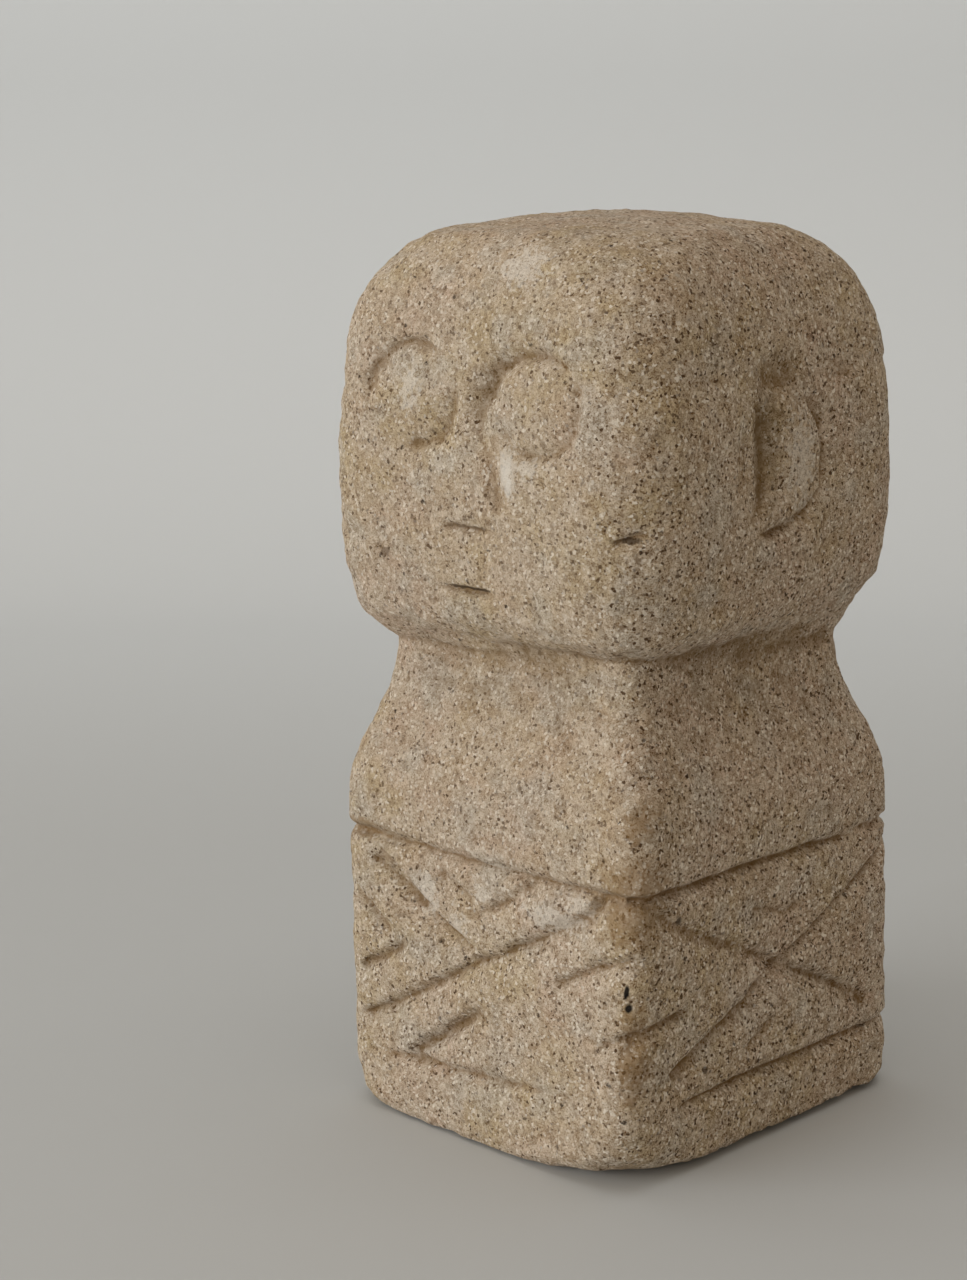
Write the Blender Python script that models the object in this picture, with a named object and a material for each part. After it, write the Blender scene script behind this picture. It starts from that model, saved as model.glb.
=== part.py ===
"""Stone man figurine: a squared block of sandstone with a pillow-shaped head on a banded torso.

One carved piece. The face looks along -Y, the ears are on the -X and +X sides, +Z is up,
and the origin is the middle of the underside.
"""

import math

import bmesh
import bpy
from mathutils import Vector

# Overall sizes, in metres
FIGURE_HEIGHT = 0.180
SHOULDER_WIDTH = 0.0805
SHOULDER_DEPTH = 0.0818
FOOT_WIDTH = 0.0780
FOOT_DEPTH = 0.0856

# Levels up the figure, as shares of its height
BAND_LOW = 0.081 * FIGURE_HEIGHT
BAND_HIGH = 0.320 * FIGURE_HEIGHT
SHOULDER = 0.362 * FIGURE_HEIGHT
NECK_LOW = 0.528 * FIGURE_HEIGHT
CHEEK = 0.722 * FIGURE_HEIGHT
BROW = 0.8395 * FIGURE_HEIGHT
CROWN = 0.987 * FIGURE_HEIGHT

# How far each form stands in or out from the shoulders' square
NECK_INSET = 0.0074
CHEEK_SWELL = 0.0015
CHEEK_REACH = 0.117 * FIGURE_HEIGHT
CROWN_INSET = 0.0137
HEAD_SHIFT = Vector((-0.0006, -0.0005))

# The four upright edges, in the order near right, back right, back left, front left
CORNER_SIGNS = ((1, -1), (1, 1), (-1, 1), (-1, -1))
TORSO_RADII = (0.0060, 0.0075, 0.0075, 0.0075)
HEAD_RADII = (0.0155, 0.0127, 0.0127, 0.0127)
CROWN_CORNER_GROWTH_SHARE = 0.9
CORNER_ROOM_SHARE = 0.996
FOOT_LEANS = (0.0, 0.0011, 0.0, -0.0011)

# Each face: whether it runs along X, its side of the figure, and the edges at its low and high ends
FACES = {
    "front": (True, -1, 3, 0),
    "right": (False, 1, 0, 1),
    "back": (True, 1, 2, 1),
    "left": (False, -1, 3, 2),
}

# Crease under the head and the slope of the jaw above it, edge by edge; curve 1 is a plain slope
CREASE_SHARES = (0.557, 0.540, 0.547, 0.541)
JAW_SHARES = (0.594, 0.606, 0.600, 0.606)
JAW_CURVE_POWERS = (2.2, 1.1, 2.0, 2.3)

# Worn lower edge: its rounding, how high the wear reaches, and what it adds to each corner in plan
FOOT_ROUND = 0.0022
FOOT_ROUND_HEIGHT = 0.0030
FOOT_WEAR_HEIGHT = 0.0150
FOOT_WEARS = (0.0290, 0.0030, 0.0030, 0.0070)

# Widths and depths of the cut lines
LINE_CUT = (0.0024, 0.0012)
BROAD_CUT = (0.0036, 0.0016)
FAINT_CUT = (0.0018, 0.0007)
SLIT_CUT = (0.0015, 0.0011)
LINE_END_SHARE = 0.55

# Eyes, as shares of half the face's width and of the height
LEFT_EYE = (-0.369, 0.8165 * FIGURE_HEIGHT)
RIGHT_EYE = (0.412, 0.8155 * FIGURE_HEIGHT)
EYE_RADII = (0.238, 0.053 * FIGURE_HEIGHT)
EYE_CUT = (0.0026, 0.0011)
BROW_CENTRE = (0.376, 0.800 * FIGURE_HEIGHT)
BROW_RADII = (0.378, 0.067 * FIGURE_HEIGHT)
BROW_CUT = (0.0034, 0.0016)

# Nose and mouth, in the same shares
NOSE_TOP = 0.811 * FIGURE_HEIGHT
NOSE_TIP = 0.706 * FIGURE_HEIGHT
NOSTRIL_LINE = 0.684 * FIGURE_HEIGHT
MOUTH_LINE = 0.6155 * FIGURE_HEIGHT

EDGE_NICK = ((0.83, 0.686 * FIGURE_HEIGHT), (0.93, 0.697 * FIGURE_HEIGHT))
FACE_HOLLOWS = {
    "right_brow_hollow": ((0.13, 0.832 * FIGURE_HEIGHT), (0.0050, 0.028 * FIGURE_HEIGHT), 0.0011),
    "right_eye_hollow": ((0.52, 0.790 * FIGURE_HEIGHT), (0.0042, 0.022 * FIGURE_HEIGHT), 0.0009),
    "left_eye_hollow": ((-0.21, 0.786 * FIGURE_HEIGHT), (0.0048, 0.022 * FIGURE_HEIGHT), 0.0010),
}

# Ears, as shares of half the side's width and of the height
EAR_CENTRE = (-0.107, 0.752 * FIGURE_HEIGHT)
EAR_RADII = (0.374, 0.0745 * FIGURE_HEIGHT)
EAR_CUT = (0.0030, 0.0018)
EAR_INSIDE = (-0.300, 0.753 * FIGURE_HEIGHT)
EAR_INSIDE_RADII = (0.205, 0.0700 * FIGURE_HEIGHT)
EAR_INSIDE_CUT = (0.0040, 0.0018)
EAR_HOLLOWS = {
    "ear_bowl": ((-0.22, 0.755 * FIGURE_HEIGHT), (0.0055, 0.060 * FIGURE_HEIGHT), 0.0016),
    "ear_top_hollow": ((0.01, 0.843 * FIGURE_HEIGHT), (0.0080, 0.022 * FIGURE_HEIGHT), 0.0009),
}

# Mesh fineness: where each stretch of the figure has its sections, and how finely a cut bends
FOOT_STEPS = (0.3, 0.6, 1.0)
TORSO_STEPS = (0.33, 0.67, 1.0)
NECK_STEPS = 6
JAW_STEPS = (0.0, 0.12, 0.26, 0.4, 0.55, 0.75, 1.0)
HEAD_STEPS = (0.12, 0.3, 0.5, 0.7, 0.88, 1.0)
CROWN_TURNS = range(10, 91, 10)
DOME_STEPS = (0.85, 0.65, 0.4, 0.15)
BORDER_STEPS = (-0.9, -0.6, -0.2, 0.2, 0.6, 0.9, 0.97)
CORNER_STEPS = 6
SIDE_STEPS = 3
STROKE_STEPS = 4
ARC_STEP = 18
BALL_SEGMENTS = (16, 10)
HOLLOW_FLATNESS = 3
MERGE = 0.00002
SHARP_ANGLE = 40

STONE_COLOUR = (0.36, 0.28, 0.20, 1.0)
STONE_ROUGHNESS = 0.92


def clamp(value, low=0.0, high=1.0):
    return max(low, min(high, value))


def mix(start, end, share):
    return start + (end - start) * share


def smooth(share):
    share = clamp(share)
    return share * share * (3.0 - 2.0 * share)


def half_sizes(height):
    """Half width and half depth of the square that the figure is cut from."""
    share = clamp(height / SHOULDER)
    half_width = mix(FOOT_WIDTH, SHOULDER_WIDTH, share) / 2
    half_depth = mix(FOOT_DEPTH, SHOULDER_DEPTH, share) / 2
    return half_width, half_depth


def stand_out(height, corner):
    """Distance outside the square at one of the four upright edges."""
    if height < SHOULDER:
        foot = clamp(1 - height / FOOT_ROUND_HEIGHT)
        worn = FOOT_ROUND * (1 - math.sqrt(1 - foot * foot))
        return FOOT_LEANS[corner] * (1 - height / SHOULDER) - worn
    crease = CREASE_SHARES[corner] * FIGURE_HEIGHT
    jaw = JAW_SHARES[corner] * FIGURE_HEIGHT
    if height < crease:
        return -NECK_INSET * smooth((height - SHOULDER) / (NECK_LOW - SHOULDER))
    slope = clamp((jaw - height) / (jaw - crease)) ** JAW_CURVE_POWERS[corner]
    swell = clamp(abs(height - CHEEK) / CHEEK_REACH)
    crown = clamp((height - BROW) / (CROWN - BROW))
    out = CHEEK_SWELL * math.sqrt(1 - swell * swell)
    out -= NECK_INSET * slope
    out -= CROWN_INSET * (1 - math.sqrt(1 - crown * crown))
    return out


def corner_radii(height):
    """Radii in plan of the four upright edges; two neighbours never need more than the side between."""
    radii = []
    for corner in range(len(CORNER_SIGNS)):
        radius = mix(TORSO_RADII[corner], HEAD_RADII[corner], head_share(height))
        if height > BROW:
            radius -= CROWN_CORNER_GROWTH_SHARE * min(0.0, stand_out(height, corner))
        radii.append(radius + FOOT_WEARS[corner] * clamp(1 - height / FOOT_WEAR_HEIGHT) ** 3)
    room = 1.0
    for corner, radius in enumerate(radii):
        before = corner - 1
        side = 2 * min(half_sizes(height)) + stand_out(height, before) + stand_out(height, corner)
        room = min(room, CORNER_ROOM_SHARE * side / (radii[before] + radius))
    return [radius * room for radius in radii]


def head_share(height):
    """0 on the torso and 1 on the head, with the change in the neck."""
    jaw = max(JAW_SHARES) * FIGURE_HEIGHT
    return smooth((height - NECK_LOW) / (jaw - NECK_LOW))


def section(height, shrink=1.0):
    """Rounded square at a level, counterclockwise from the near corner."""
    half_width, half_depth = half_sizes(height)
    radii = corner_radii(height)
    corners = []
    for number, (x_sign, y_sign) in enumerate(CORNER_SIGNS):
        out = stand_out(height, number)
        radius = radii[number]
        x_centre = x_sign * (half_width + out - radius)
        y_centre = y_sign * (half_depth + out - radius)
        for step in range(CORNER_STEPS + 1):
            angle = math.radians(90 * number - 90 + 90 * step / CORNER_STEPS)
            x = x_centre + radius * math.cos(angle)
            y = y_centre + radius * math.sin(angle)
            corners.append(Vector((x, y)))
    outline = []
    for number, point in enumerate(corners):
        outline.append(point)
        if number % (CORNER_STEPS + 1) == CORNER_STEPS:
            following = corners[(number + 1) % len(corners)]
            for step in range(1, SIDE_STEPS):
                outline.append(point.lerp(following, step / SIDE_STEPS))
    shift = HEAD_SHIFT * head_share(height)
    return [point * shrink + shift for point in outline]


def skin(face, across, height):
    """Point on a face and its outward direction; across is -1 and 1 at the face's two edges."""
    half_width, half_depth = half_sizes(height)
    along_x, sign, low_corner, high_corner = FACES[face]
    corner = high_corner if across > 0 else low_corner
    radius = corner_radii(height)[corner]
    low_out = stand_out(height, low_corner)
    high_out = stand_out(height, high_corner)
    half_across = (half_width if along_x else half_depth) + stand_out(height, corner)
    reach = (half_depth if along_x else half_width) + mix(low_out, high_out, (across + 1) / 2)
    distance = across * half_across
    turn = math.asin(clamp((abs(distance) - half_across + radius) / radius))
    sideways = math.copysign(math.sin(turn), distance)
    away = sign * (reach - radius * (1 - math.cos(turn)))
    shift = HEAD_SHIFT * head_share(height)
    if along_x:
        point = Vector((distance + shift.x, away + shift.y, height))
        outward = Vector((sideways, sign * math.cos(turn), 0))
    else:
        point = Vector((away + shift.x, distance + shift.y, height))
        outward = Vector((sign * math.cos(turn), sideways, 0))
    return point, outward


def levels():
    """Heights of the loft's sections, closer together where the profile turns."""
    heights = [0.0, 0.25 * FOOT_ROUND_HEIGHT, FOOT_ROUND_HEIGHT]
    heights += [mix(FOOT_ROUND_HEIGHT, FOOT_WEAR_HEIGHT, share) for share in FOOT_STEPS]
    heights += [mix(FOOT_WEAR_HEIGHT, SHOULDER, share) for share in TORSO_STEPS]
    heights += [mix(SHOULDER, NECK_LOW, step / NECK_STEPS) for step in range(1, NECK_STEPS + 1)]
    crease, jaw = min(CREASE_SHARES) * FIGURE_HEIGHT, max(JAW_SHARES) * FIGURE_HEIGHT
    heights += [mix(crease, jaw, share) for share in JAW_STEPS]
    heights += [mix(jaw, BROW, share) for share in HEAD_STEPS]
    heights += [mix(BROW, CROWN, math.sin(math.radians(turn))) for turn in CROWN_TURNS]
    return heights


def loft_block(collection):
    """The uncarved figure: rounded squares joined level by level, under a low domed crown."""
    rings = []
    for height in levels():
        rings.append([Vector((*point, height)) for point in section(height)])
    for shrink in DOME_STEPS:
        dome = FIGURE_HEIGHT - (FIGURE_HEIGHT - CROWN) * shrink * shrink
        rings.append([Vector((*point, dome)) for point in section(CROWN, shrink)])
    rings.append([Vector((*HEAD_SHIFT, FIGURE_HEIGHT))])
    mesh = bmesh.new()
    loops = [[mesh.verts.new(point) for point in ring] for ring in rings]
    count = len(loops[0])
    for lower, upper in zip(loops, loops[1:]):
        for number in range(count):
            after = (number + 1) % count
            corners = [lower[number], lower[after], upper[after % len(upper)], upper[number % len(upper)]]
            mesh.faces.new(list(dict.fromkeys(corners)))
    mesh.faces.new(reversed(loops[0]))
    return new_object("stone_figure", mesh, collection)


def new_object(name, mesh, collection):
    data = bpy.data.meshes.new(name)
    mesh.to_mesh(data)
    mesh.free()
    item = bpy.data.objects.new(name, data)
    collection.objects.link(item)
    return item


def new_cutter(name, mesh, collection):
    cutter = new_object(name, mesh, collection)
    cutter.hide_render = True
    cutter.display_type = "WIRE"
    return cutter


def cut_along(name, places, cut, collection, closed=False):
    """Round-bottomed groove along places on the skin; a cut is a width and a depth."""
    width, depth = cut
    radius = (width * width / 4 + depth * depth) / (2 * depth)
    curve = bpy.data.curves.new(name, "CURVE")
    curve.dimensions = "3D"
    curve.bevel_depth = radius
    curve.bevel_resolution = 1
    curve.use_fill_caps = True
    spline = curve.splines.new("POLY")
    spline.points.add(len(places) - 1)
    spline.use_cyclic_u = closed
    for number, (point, outward) in enumerate(places):
        spline.points[number].co = (*(point + outward * (radius - depth)), 1.0)
        if not closed and number in (0, len(places) - 1):
            spline.points[number].radius = LINE_END_SHARE
    wire = bpy.data.objects.new(name, curve)
    collection.objects.link(wire)
    bpy.context.view_layer.update()
    data = bpy.data.meshes.new_from_object(wire.evaluated_get(bpy.context.evaluated_depsgraph_get()))
    mesh = bmesh.new()
    mesh.from_mesh(data)
    bmesh.ops.remove_doubles(mesh, verts=mesh.verts, dist=MERGE)
    cutter = new_cutter(name, mesh, collection)
    cutter.matrix_world = wire.matrix_world
    bpy.data.objects.remove(wire)


def cut_hollow(name, face, centre, radii, depth, collection):
    """Shallow bowl with a soft rim: a flattened ball that stands mostly outside the skin."""
    point, outward = skin(face, *centre)
    thickness = HOLLOW_FLATNESS * depth
    rim = math.sqrt(1 - (1 - depth / thickness) ** 2)
    across, up = radii[0] / rim, radii[1] / rim
    around, up_and_down = BALL_SEGMENTS
    mesh = bmesh.new()
    bmesh.ops.create_uvsphere(mesh, u_segments=around, v_segments=up_and_down, radius=1.0)
    size = Vector((across, thickness, up)) if face in ("front", "back") else Vector((thickness, across, up))
    bmesh.ops.scale(mesh, vec=size, verts=mesh.verts)
    bmesh.ops.translate(mesh, vec=point + outward * (thickness - depth), verts=mesh.verts)
    new_cutter(name, mesh, collection)


def stroke(face, start, end, bow=0.0):
    """Places along a line on a face, its middle raised by the bow."""
    places = []
    for step in range(STROKE_STEPS + 1):
        share = step / STROKE_STEPS
        height = mix(start[1], end[1], share) + bow * 4 * share * (1 - share)
        places.append(skin(face, mix(start[0], end[0], share), height))
    return places


def arc(face, centre, radii, start, end):
    """Places along part of an ellipse on a face; in degrees, 0 is towards +X or +Y and 90 is up."""
    places = []
    steps = max(2, round(abs(end - start) / ARC_STEP))
    for step in range(steps + 1):
        angle = math.radians(mix(start, end, step / steps))
        across = centre[0] + radii[0] * math.cos(angle)
        places.append(skin(face, across, centre[1] + radii[1] * math.sin(angle)))
    return places


def band_stroke(name, face, start, end, cut, collection, bow=0.0):
    """Line in the carved band, whose heights run from 0 at its lower border to 1 at its upper one."""
    low = (start[0], mix(BAND_LOW, BAND_HIGH, start[1]))
    high = (end[0], mix(BAND_LOW, BAND_HIGH, end[1]))
    cut_along(name, stroke(face, low, high, bow * FIGURE_HEIGHT), cut, collection)


def carve_borders(collection):
    """Border lines: the upper one runs right round, the lower one fades out at the near corner."""
    ring = []
    for face, direction in (("front", 1), ("right", 1), ("back", -1), ("left", -1)):
        for across in BORDER_STEPS:
            ring.append(skin(face, direction * across, BAND_HIGH))
    cut_along("upper_border", ring, LINE_CUT, collection, closed=True)
    band_stroke("front_lower_border", "front", (-0.80, -0.05), (0.66, 0.05), LINE_CUT, collection)
    band_stroke("right_lower_border", "right", (-0.65, 0.00), (0.95, 0.00), LINE_CUT, collection)
    band_stroke("back_lower_border", "back", (0.92, 0.00), (-0.92, 0.02), LINE_CUT, collection)
    band_stroke("left_lower_border", "left", (0.92, 0.02), (-0.80, -0.04), LINE_CUT, collection)


def carve_front_band(collection):
    """Long crossing diagonals, a small V hanging from the upper border, and short strokes."""
    rows = (
        ("long_diagonal", (-0.87, 0.09), (0.72, 0.92), LINE_CUT, -0.003),
        ("long_diagonal_tip", (0.70, 0.90), (0.78, 1.00), LINE_CUT, 0.0),
        ("falling_diagonal", (-0.76, 0.90), (-0.04, 0.57), LINE_CUT, 0.0),
        ("small_v_left", (-0.22, 0.89), (0.07, 0.79), FAINT_CUT, 0.0),
        ("small_v_right", (0.06, 0.79), (0.38, 0.99), LINE_CUT, 0.0),
        ("arrow_upper", (-0.90, 0.74), (-0.61, 0.53), LINE_CUT, 0.0),
        ("arrow_lower", (-0.86, 0.32), (-0.52, 0.52), LINE_CUT, 0.0),
        ("broad_stroke", (-0.46, 0.01), (-0.01, 0.29), BROAD_CUT, 0.0),
        ("near_stroke", (0.48, 0.54), (0.97, 0.74), LINE_CUT, 0.003),
        ("near_faint_stroke", (0.79, 0.34), (1.00, 0.39), FAINT_CUT, 0.0),
    )
    for name, start, end, cut, bow in rows:
        band_stroke("front_" + name, "front", start, end, cut, collection, bow)


def carve_right_band(collection):
    """Saltire of two diagonals, with a faint V above and short strokes by the near corner."""
    rows = (
        ("long_diagonal", (0.86, 0.86), (-0.74, 0.17), LINE_CUT, -0.006),
        ("falling_diagonal", (-0.34, 0.71), (0.77, 0.15), LINE_CUT, -0.003),
        ("small_v_left", (-0.17, 0.83), (0.10, 0.73), FAINT_CUT, 0.0),
        ("small_v_right", (0.09, 0.73), (0.20, 0.78), FAINT_CUT, 0.0),
        ("near_stroke", (-0.98, 0.38), (-0.60, 0.44), LINE_CUT, 0.0),
        ("near_drop", (-0.90, 0.38), (-0.99, 0.29), FAINT_CUT, 0.0),
        ("low_stroke", (-0.14, 0.15), (0.02, 0.25), FAINT_CUT, 0.0),
        ("near_upper_stroke", (-0.95, 1.00), (-0.76, 0.89), LINE_CUT, 0.0),
        ("near_tail", (-0.96, 0.74), (-0.86, 0.67), FAINT_CUT, 0.0),
    )
    for name, start, end, cut, bow in rows:
        band_stroke("right_" + name, "right", start, end, cut, collection, bow)


def carve_hidden_bands(collection):
    """Plainer saltires on the back and left faces."""
    rows = (
        ("back", "rising_diagonal", (-0.85, 0.10), (0.80, 0.92)),
        ("back", "falling_diagonal", (-0.78, 0.90), (0.82, 0.12)),
        ("left", "rising_diagonal", (-0.84, 0.12), (0.82, 0.88)),
        ("left", "falling_diagonal", (-0.80, 0.88), (0.40, 0.30)),
    )
    for face, name, start, end in rows:
        band_stroke(f"{face}_{name}", face, start, end, LINE_CUT, collection)


def carve_face(collection):
    """Round eyes under sweeping brows, a narrow nose between them, and slits for nostrils and mouth."""
    cut_along("left_brow", arc("front", LEFT_EYE, EYE_RADII, 175, 55), EYE_CUT, collection)
    cut_along("left_eye_hook", arc("front", LEFT_EYE, EYE_RADII, 0, -115), EYE_CUT, collection)
    cut_along("right_brow", arc("front", BROW_CENTRE, BROW_RADII, 176, 62), BROW_CUT, collection)
    cut_along("right_eye_side", arc("front", RIGHT_EYE, EYE_RADII, 38, -20), FAINT_CUT, collection)
    cut_along("right_eye_hook", arc("front", RIGHT_EYE, EYE_RADII, -28, -120), EYE_CUT, collection)
    cut_along("nose_right", stroke("front", (0.02, NOSE_TOP), (0.188, NOSE_TIP)), LINE_CUT, collection)
    cut_along("nostrils", stroke("front", (-0.16, NOSTRIL_LINE), (0.16, NOSTRIL_LINE)), SLIT_CUT, collection)
    cut_along("mouth", stroke("front", (-0.19, MOUTH_LINE), (0.12, MOUTH_LINE)), SLIT_CUT, collection)
    cut_along("edge_nick", stroke("front", *EDGE_NICK), LINE_CUT, collection)
    for name, (centre, radii, depth) in FACE_HOLLOWS.items():
        cut_hollow(name, "front", centre, radii, depth, collection)


def carve_ear(face, collection):
    """Half-moon ear, open towards the face: grooves behind and inside it, and shallow bowls."""
    cut_along(face + "_ear_groove", arc(face, EAR_CENTRE, EAR_RADII, 58, -100), EAR_CUT, collection)
    inside = arc(face, EAR_INSIDE, EAR_INSIDE_RADII, 64, -66)
    cut_along(face + "_ear_inside", inside, EAR_INSIDE_CUT, collection)
    for name, (centre, radii, depth) in EAR_HOLLOWS.items():
        cut_hollow(f"{face}_{name}", face, centre, radii, depth, collection)


def stand_on_middle(items):
    """Hang the pieces on an empty that puts the middle of the figure's footprint at the origin."""
    points = [point for height in levels() for point in section(height)]
    x_middle = (min(point.x for point in points) + max(point.x for point in points)) / 2
    y_middle = (min(point.y for point in points) + max(point.y for point in points)) / 2
    stand = bpy.data.objects.new("stand_point", None)
    bpy.context.scene.collection.objects.link(stand)
    stand.location = (-x_middle, -y_middle, 0.0)
    for item in items:
        item.parent = stand


def stone_material():
    material = bpy.data.materials.new("sandstone")
    material.use_nodes = True
    shader = material.node_tree.nodes["Principled BSDF"]
    shader.inputs["Base Color"].default_value = STONE_COLOUR
    shader.inputs["Roughness"].default_value = STONE_ROUGHNESS
    shader.inputs["Metallic"].default_value = 0.0
    return material


def build():
    for item in list(bpy.data.objects):
        bpy.data.objects.remove(item)
    parts = bpy.data.collections.new("stone_man_figurine")
    cutters = bpy.data.collections.new("carving_cutters")
    bpy.context.scene.collection.children.link(parts)
    bpy.context.scene.collection.children.link(cutters)
    figure = loft_block(parts)
    figure.data.materials.append(stone_material())
    carve_borders(cutters)
    carve_front_band(cutters)
    carve_right_band(cutters)
    carve_hidden_bands(cutters)
    carve_face(cutters)
    carve_ear("right", cutters)
    carve_ear("left", cutters)
    carving = figure.modifiers.new("carving", "BOOLEAN")
    carving.operation = "DIFFERENCE"
    carving.operand_type = "COLLECTION"
    carving.collection = cutters
    carving.solver = "EXACT"
    stand_on_middle([figure, *cutters.objects])
    figure.data.shade_smooth()
    figure.data.set_sharp_from_angle(angle=math.radians(SHARP_ANGLE))


build()
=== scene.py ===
"""Squared stone man figurine in weathered sandstone, on a pale studio sweep."""

import math

import bmesh
import bpy
import numpy as np
from mathutils import Matrix, Vector


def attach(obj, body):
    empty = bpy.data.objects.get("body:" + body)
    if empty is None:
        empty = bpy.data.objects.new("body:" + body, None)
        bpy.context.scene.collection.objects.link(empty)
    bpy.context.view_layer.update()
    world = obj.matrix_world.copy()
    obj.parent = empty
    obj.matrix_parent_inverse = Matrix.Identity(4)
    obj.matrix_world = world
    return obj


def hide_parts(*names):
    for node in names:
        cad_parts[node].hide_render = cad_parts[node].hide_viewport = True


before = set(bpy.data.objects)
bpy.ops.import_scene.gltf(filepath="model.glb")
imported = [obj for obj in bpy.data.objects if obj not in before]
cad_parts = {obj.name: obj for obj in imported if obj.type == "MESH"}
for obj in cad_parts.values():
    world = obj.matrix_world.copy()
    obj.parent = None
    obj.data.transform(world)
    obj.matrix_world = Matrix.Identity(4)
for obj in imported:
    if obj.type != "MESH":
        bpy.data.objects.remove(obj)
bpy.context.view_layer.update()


# The figurine: one block of coarse beige sandstone, squared up, its head and band cut with a point
# and the whole rubbed down by hand. Handling and weather have rounded its edges and the lips of
# the cuts, and left the face of the stone open-grained, so the block is worn over in mesh here.

MM = 0.001
STONE_SEED = 7
WELD = 0.002 * MM
SKIN_CELL = 0.50 * MM
MOST_TRIANGLES = 190_000


def merged_copy(node):
    """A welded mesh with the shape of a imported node, whose own mesh is loose triangles."""
    mesh = bmesh.new()
    mesh.from_mesh(node.data)
    bmesh.ops.remove_doubles(mesh, verts=mesh.verts, dist=WELD)
    data = bpy.data.meshes.new("stone_figure_worn")
    mesh.to_mesh(data)
    mesh.free()
    return data


def finished(item, kind, **settings):
    """The item's mesh after one modifier."""
    modifier = item.modifiers.new("finish", kind)
    for name, value in settings.items():
        setattr(modifier, name, value)
    bpy.context.view_layer.update()
    ready = item.evaluated_get(bpy.context.evaluated_depsgraph_get())
    data = bpy.data.meshes.new_from_object(ready)
    item.modifiers.remove(modifier)
    item.data = data
    return data


def read_points(data):
    points = np.empty(len(data.vertices) * 3)
    data.vertices.foreach_get("co", points)
    return points.reshape(-1, 3)


def write_points(data, points):
    data.vertices.foreach_set("co", points.ravel())
    data.update()


def read_outward(data):
    outward = np.empty(len(data.vertices) * 3)
    data.vertex_normals.foreach_get("vector", outward)
    return outward.reshape(-1, 3)


def relaxed(points, data, rounds, share=0.5):
    """Points drawn towards the middle of their neighbours, as wear draws a sharp edge back."""
    pairs = np.empty(len(data.edges) * 2, dtype=np.int32)
    data.edges.foreach_get("vertices", pairs)
    first, second = pairs.reshape(-1, 2).T
    count = np.bincount(pairs, minlength=len(points))[:, None]
    points = points.copy()
    for _ in range(rounds):
        total = np.zeros_like(points)
        for axis in range(3):
            total[:, axis] = np.bincount(first, points[second, axis], len(points))
            total[:, axis] += np.bincount(second, points[first, axis], len(points))
        points += share * (total / count - points)
    return points


LUMP_TABLE = 32


def lumps(points, size, seed):
    """Smooth random field from -1 to 1 whose lumps are about one size across."""
    table = np.random.default_rng(seed).uniform(-1, 1, (LUMP_TABLE,) * 3)
    cells = points / size
    low = np.floor(cells).astype(int)
    share = cells - low
    share = share * share * (3 - 2 * share)
    field = np.zeros(len(points))
    for corner in np.ndindex(2, 2, 2):
        weight = np.prod(np.where(corner, share, 1 - share), axis=1)
        x, y, z = ((low + corner) % LUMP_TABLE).T
        field += weight * table[x, y, z]
    return field


figure = bpy.data.objects.new("carved_stone_figure", merged_copy(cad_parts["stone_figure"]))
bpy.context.scene.collection.objects.link(figure)
skin = finished(figure, "REMESH", mode="VOXEL", voxel_size=SKIN_CELL, use_smooth_shade=True)

# Ragged lines: the cuts wander a little from side to side, as a point follows the grain.
WANDER = 0.30 * MM
WANDER_LENGTH = 3.2 * MM
points = relaxed(read_points(skin), skin, 1)
for axis in range(3):
    points[:, axis] += WANDER * lumps(points, WANDER_LENGTH, STONE_SEED + axis)
write_points(skin, points)
outward = read_outward(skin)

# Each upright side: which way it faces, which way its places run across, and how far the middle of
# the footprint lies from the line between its two edges.
SIDES = {
    "front": (Vector((0, -1, 0)), Vector((1, 0, 0)), 0.6 * MM),
    "right": (Vector((1, 0, 0)), Vector((0, 1, 0)), -0.4 * MM),
}
FACING_LEAST = 0.15
FACING_SPAN = 0.35
FAR_OFF = 1.0


def on_side(side):
    """How squarely each point faces out of a side, and its place across and up that side."""
    facing, across, shift = SIDES[side]
    share = np.clip((outward @ np.array(facing) - FACING_LEAST) / FACING_SPAN, 0, 1)
    return share, points @ np.array(across) - shift, points[:, 2]


def beside(side, path):
    """How far each point lies from a path on a side, right of it being positive, and how far along it."""
    share, across, up = on_side(side)
    nearest = np.full(len(points), FAR_OFF)
    place = np.zeros(len(points))
    length = 0.0
    for start, end in zip(path, path[1:]):
        start, end = np.array(start) * MM, np.array(end) * MM
        run = end - start
        from_start = np.stack((across, up), axis=1) - start
        along = np.clip(from_start @ run / (run @ run), 0, 1)
        gap = from_start - along[:, None] * run
        distance = np.hypot(*gap.T)
        turn = run[0] * gap[:, 1] - run[1] * gap[:, 0]
        nearer = distance < np.abs(nearest)
        nearest = np.where(nearer, np.where(turn > 0, -distance, distance), nearest)
        place = np.where(nearer, length + along * np.linalg.norm(run), place)
        length += np.linalg.norm(run)
    return share, nearest, place, length


# A stroke starts at a share of its depth and reaches the whole of it within the fade. What lies farther
# out than OUTER belongs to a side's skin.
STROKE_FADE = 2.5 * MM
STROKE_END = 0.35
OUTER = 32 * MM


def cut(side, path, depth, sharp, soft, thin=1.0):
    """Press a stroke in, sharp-walled on the left of its path and soft on the right.

    It runs out at both ends, and its size has changed `thin` times by the last of them."""
    share, distance, place, length = beside(side, path)
    size = 1 + (thin - 1) * place / length
    ends = np.clip(STROKE_END + np.minimum(place, length - place) / STROKE_FADE, 0, 1)
    width = np.where(distance < 0, sharp, soft) * size * MM
    depth = share * depth * np.sqrt(size) * ends * MM
    points[:] -= np.outer(depth * np.exp(-(distance / width) ** 2), np.array(SIDES[side][0]))


def dish(side, centre, radii, depth):
    """Rub a soft hollow, or a swelling where the depth is negative."""
    share, across, up = on_side(side)
    away = ((across / MM - centre[0]) / radii[0]) ** 2 + ((up / MM - centre[1]) / radii[1]) ** 2
    points[:] -= np.outer(share * depth * MM * np.exp(-away), np.array(SIDES[side][0]))


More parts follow.
